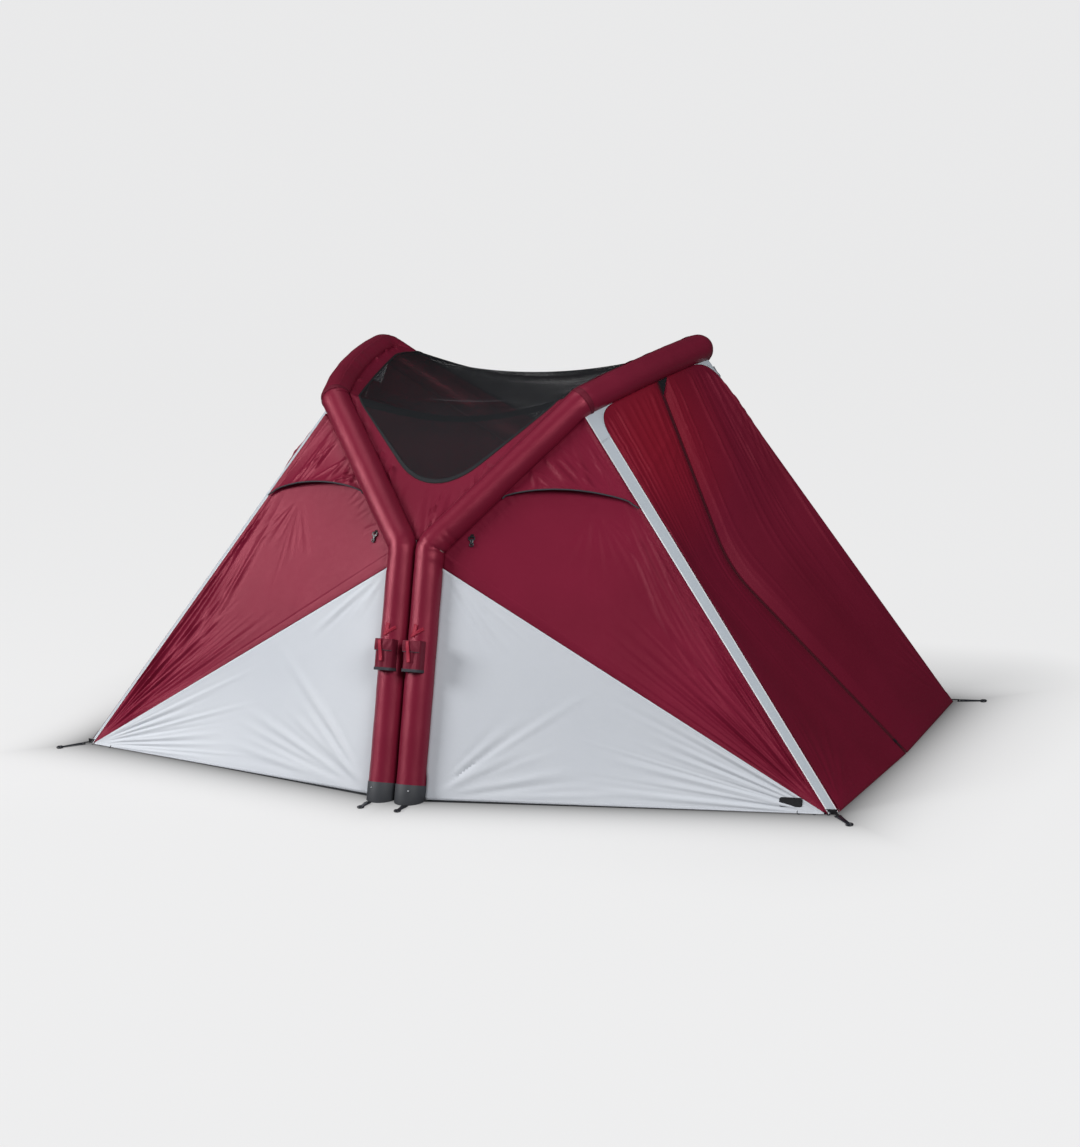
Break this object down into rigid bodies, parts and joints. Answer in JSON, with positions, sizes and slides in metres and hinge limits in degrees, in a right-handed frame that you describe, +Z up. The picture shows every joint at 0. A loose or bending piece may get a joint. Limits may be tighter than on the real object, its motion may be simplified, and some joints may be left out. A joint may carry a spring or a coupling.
{
  "type": "inflatable tent",
  "caption": "Low family tent held up by inflated beams that stand side by side at the front and back and lean apart to carry a net roof, with pegged corners and zipped end doors",
  "frame": {"origin": "on the ground below the middle of the tent, the bottom centre of its box", "axes": "X runs along the tent from one end door to the other, Y from its front to its back, and Z is up"},
  "size_m": [3.7974, 2.5788, 1.7005],
  "materials": {
    "shell_cloth": "woven, satin sheen",
    "sleeve_cloth": "tight woven cloth over the bladder",
    "skirt_cloth": "woven, matt",
    "strap_webbing": "webbing",
    "net": "fine net",
    "tape": "woven tape",
    "floor_cloth": "coated cloth",
    "cap_rubber": "moulded, matt",
    "clip_plastic": "moulded",
    "bladder_film": "soft film",
    "valve_plastic": "moulded",
    "pouch_cloth": "woven"
  },
  "bodies": {
    "shell": {"beam_sleeve_left": "sleeve_cloth", "beam_sleeve_right": "sleeve_cloth", "bladder_left": "bladder_film", "bladder_right": "bladder_film", "corner_strap_back_left": "strap_webbing", "corner_strap_back_right": "strap_webbing", "corner_strap_front_left": "strap_webbing", "corner_strap_front_right": "strap_webbing", "foot_cap_back_left": "cap_rubber", "foot_cap_back_right": "cap_rubber", "foot_cap_front_left": "cap_rubber", "foot_cap_front_right": "cap_rubber", "groundsheet": "floor_cloth", "roof_binding": "tape", "roof_border": "shell_cloth", "roof_net": "net", "spreader_band_back": "tape", "spreader_band_front": "tape", "valve_left": "valve_plastic", "valve_pouch_left": "pouch_cloth", "valve_pouch_right": "pouch_cloth", "valve_right": "valve_plastic", "vent_hood_back_left": "shell_cloth", "vent_hood_back_right": "shell_cloth", "vent_hood_front_left": "shell_cloth", "vent_hood_front_right": "shell_cloth", "wall_lower_back_left": "skirt_cloth", "wall_lower_back_right": "skirt_cloth", "wall_lower_front_left": "skirt_cloth", "wall_lower_front_right": "skirt_cloth", "wall_upper_back_left": "shell_cloth", "wall_upper_back_right": "shell_cloth", "wall_upper_front_left": "shell_cloth", "wall_upper_front_right": "shell_cloth", "zip_gusset_left": "net", "zip_gusset_right": "net"},
    "door_front_right": {"door_front_right": "shell_cloth"},
    "corner_clip_front_right": {"corner_clip_front_right": "clip_plastic"},
    "foot_clip_front_right": {"foot_clip_front_right": "clip_plastic"},
    "door_back_right": {"door_back_right": "shell_cloth"},
    "corner_clip_back_right": {"corner_clip_back_right": "clip_plastic"},
    "foot_clip_back_right": {"foot_clip_back_right": "clip_plastic"},
    "shoulder_clip_right": {"shoulder_clip_right": "clip_plastic"},
    "toggle_right": {"toggle_right": "clip_plastic"},
    "zip_slider_right": {"zip_slider_right": "clip_plastic"},
    "pouch_flap_right": {"pouch_flap_right": "pouch_cloth"},
    "valve_lid_right": {"valve_lid_right": "clip_plastic"},
    "door_front_left": {"door_front_left": "shell_cloth"},
    "corner_clip_front_left": {"corner_clip_front_left": "clip_plastic"},
    "foot_clip_front_left": {"foot_clip_front_left": "clip_plastic"},
    "door_back_left": {"door_back_left": "shell_cloth"},
    "corner_clip_back_left": {"corner_clip_back_left": "clip_plastic"},
    "foot_clip_back_left": {"foot_clip_back_left": "clip_plastic"},
    "shoulder_clip_left": {"shoulder_clip_left": "clip_plastic"},
    "toggle_left": {"toggle_left": "clip_plastic"},
    "zip_slider_left": {"zip_slider_left": "clip_plastic"},
    "pouch_flap_left": {"pouch_flap_left": "pouch_cloth"},
    "valve_lid_left": {"valve_lid_left": "clip_plastic"}
  },
  "joints": [
    {"name": "door_front_right", "type": "hinge", "parent": "shell", "child": "door_front_right", "pos_m": [1.76475, -0.79515, 0.006], "axis": [0.5955, -0.2058, -0.7766], "range_deg": [0, 100]},
    {"name": "corner_clip_front_right", "type": "hinge", "parent": "shell", "child": "corner_clip_front_right", "pos_m": [1.77141, -0.84378, 0.0048], "axis": [-0.7431, -0.6691, 0], "range_deg": [0, 90]},
    {"name": "foot_clip_front_right", "type": "hinge", "parent": "shell", "child": "foot_clip_front_right", "pos_m": [0.08413, -1.22144, 0.0048], "axis": [-1, 0, 0], "range_deg": [0, 90]},
    {"name": "door_back_right", "type": "hinge", "parent": "shell", "child": "door_back_right", "pos_m": [1.76556, 0.79552, 0.006], "axis": [-0.4996, -0.2206, 0.8377], "range_deg": [0, 100]},
    {"name": "corner_clip_back_right", "type": "hinge", "parent": "shell", "child": "corner_clip_back_right", "pos_m": [1.7813, 0.82665, 0.0048], "axis": [0.2079, -0.9781, 0], "range_deg": [0, 90]},
    {"name": "foot_clip_back_right", "type": "hinge", "parent": "shell", "child": "foot_clip_back_right", "pos_m": [0.08413, 1.22144, 0.0048], "axis": [1, 0, 0], "range_deg": [0, 90]},
    {"name": "shoulder_clip_right", "type": "hinge", "parent": "shell", "child": "shoulder_clip_right", "pos_m": [0.83051, 0.41548, 1.55096], "axis": [0.5724, -0.8099, 0.1281], "range_deg": [0, 110]},
    {"name": "toggle_right", "type": "hinge", "parent": "shell", "child": "toggle_right", "pos_m": [0.22548, -0.77453, 1.01962], "axis": [-0.9628, -0.2703, 0], "range_deg": [0, 110]},
    {"name": "zip_slider_right", "type": "slide", "parent": "door_front_right", "child": "zip_slider_right", "axis": [-0.7099, 0, 0.7043], "range_m": [0, 0.6]},
    {"name": "pouch_flap_right", "type": "hinge", "parent": "shell", "child": "pouch_flap_right", "pos_m": [0.06413, -1.00563, 0.63214], "axis": [-1, 0, 0], "range_deg": [0, 80]},
    {"name": "valve_lid_right", "type": "hinge", "parent": "shell", "child": "valve_lid_right", "pos_m": [0.06413, -0.96612, 0.5525], "axis": [0, -0.9539, 0.3002], "range_deg": [0, 540]},
    {"name": "door_front_left", "type": "hinge", "parent": "shell", "child": "door_front_left", "pos_m": [-1.76475, -0.79515, 0.006], "axis": [0.5955, 0.2058, 0.7766], "range_deg": [0, 100]},
    {"name": "corner_clip_front_left", "type": "hinge", "parent": "shell", "child": "corner_clip_front_left", "pos_m": [-1.77141, -0.84378, 0.0048], "axis": [-0.7431, 0.6691, 0], "range_deg": [0, 90]},
    {"name": "foot_clip_front_left", "type": "hinge", "parent": "shell", "child": "foot_clip_front_left", "pos_m": [-0.08413, -1.22144, 0.0048], "axis": [-1, 0, 0], "range_deg": [0, 90]},
    {"name": "door_back_left", "type": "hinge", "parent": "shell", "child": "door_back_left", "pos_m": [-1.76556, 0.79552, 0.006], "axis": [-0.4996, 0.2206, -0.8377], "range_deg": [0, 100]},
    {"name": "corner_clip_back_left", "type": "hinge", "parent": "shell", "child": "corner_clip_back_left", "pos_m": [-1.7813, 0.82665, 0.0048], "axis": [0.2079, 0.9781, 0], "range_deg": [0, 90]},
    {"name": "foot_clip_back_left", "type": "hinge", "parent": "shell", "child": "foot_clip_back_left", "pos_m": [-0.08413, 1.22144, 0.0048], "axis": [1, 0, 0], "range_deg": [0, 90]},
    {"name": "shoulder_clip_left", "type": "hinge", "parent": "shell", "child": "shoulder_clip_left", "pos_m": [-0.83051, 0.41548, 1.55096], "axis": [0.5724, 0.8099, -0.1281], "range_deg": [0, 110]},
    {"name": "toggle_left", "type": "hinge", "parent": "shell", "child": "toggle_left", "pos_m": [-0.22548, -0.77453, 1.01962], "axis": [-0.9628, 0.2703, 0], "range_deg": [0, 110]},
    {"name": "zip_slider_left", "type": "slide", "parent": "door_front_left", "child": "zip_slider_left", "axis": [0.7099, 0, 0.7043], "range_m": [0, 0.6]},
    {"name": "pouch_flap_left", "type": "hinge", "parent": "shell", "child": "pouch_flap_left", "pos_m": [-0.06413, -1.00563, 0.63214], "axis": [-1, 0, 0], "range_deg": [0, 80]},
    {"name": "valve_lid_left", "type": "hinge", "parent": "shell", "child": "valve_lid_left", "pos_m": [-0.06413, -0.96612, 0.5525], "axis": [0, 0.9539, -0.3002], "range_deg": [0, 540]}
  ]
}
